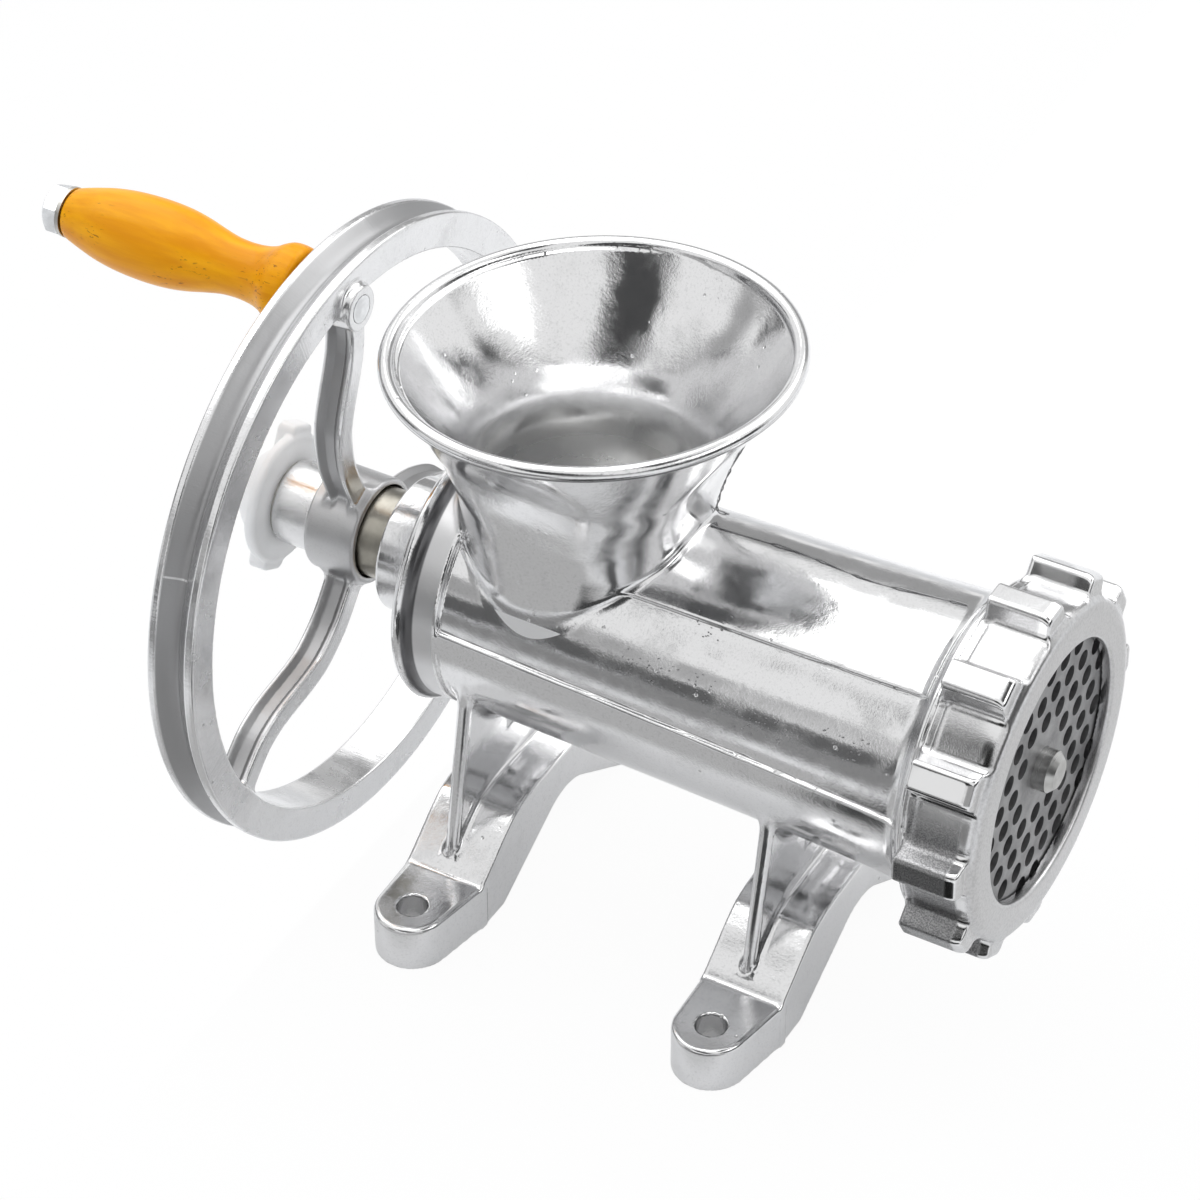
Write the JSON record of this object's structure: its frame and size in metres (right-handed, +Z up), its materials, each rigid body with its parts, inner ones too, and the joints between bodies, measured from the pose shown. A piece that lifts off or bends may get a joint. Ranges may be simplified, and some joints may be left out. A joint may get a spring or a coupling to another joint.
{
  "type": "hand crank meat grinder",
  "caption": "Table meat grinder: funnel hopper on a cast barrel with feet, worm, knife and hole plate held by a lugged ring nut, turned by a spoked wheel with a wooden handle.",
  "frame": {"origin": "centre of the four bolt holes, on the underside of the feet", "axes": "+X along the barrel towards the outlet, +Z up, +Y to the far side of the barrel as seen with the outlet on the right"},
  "size_m": [0.3103, 0.1864, 0.1864],
  "materials": {
    "cast_aluminium": "polished die casting with small pits",
    "bearing_bronze": "machined",
    "nylon": "plain",
    "plate_steel": "ground, darker than the casting",
    "steel": "machined",
    "tinned_worm": "tinned casting",
    "polished_ring": "polished, with rough cast faces",
    "bright_wheel": "polished casting",
    "chrome_bolt": "bright plated",
    "white_plastic": "milky, slightly see-through",
    "insert_brass": "machined",
    "lacquered_wood": "orange lacquer with brown specks"
  },
  "bodies": {
    "casting": {"grinder_body": "cast_aluminium", "shaft_bush": "bearing_bronze", "thrust_washer": "nylon", "plate_pin": "steel", "grinding_plate": "plate_steel"},
    "rotor": {"auger_worm": "tinned_worm", "auger_shaft": "steel", "auger_pin": "steel", "cutting_knife": "plate_steel", "hand_wheel": "bright_wheel", "crank_stud": "steel", "stud_washer": "steel", "handle_bolt": "chrome_bolt", "grip_sleeve": "steel", "grip_washer_inner": "steel", "grip_washer_outer": "steel"},
    "ring": {"ring_nut": "polished_ring"},
    "plastic_nut": {"wing_nut": "white_plastic", "nut_insert": "insert_brass"},
    "grip": {"handle_grip": "lacquered_wood"}
  },
  "joints": [
    {"name": "crank_turn", "type": "hinge", "parent": "casting", "child": "rotor", "pos_m": [-0.09, 0, 0.0864], "axis": [1, 0, 0], "continuous": true},
    {"name": "ring_turn", "type": "hinge", "parent": "casting", "child": "ring", "pos_m": [0.1, 0, 0.0864], "axis": [1, 0, 0], "range_deg": [0, 360]},
    {"name": "nut_turn", "type": "hinge", "parent": "rotor", "child": "plastic_nut", "pos_m": [-0.13, 0, 0.0864], "axis": [-1, 0, 0], "range_deg": [0, 360]},
    {"name": "grip_spin", "type": "hinge", "parent": "rotor", "child": "grip", "pos_m": [-0.15, -0.00855, 0.16775], "axis": [1, 0, 0], "continuous": true}
  ]
}
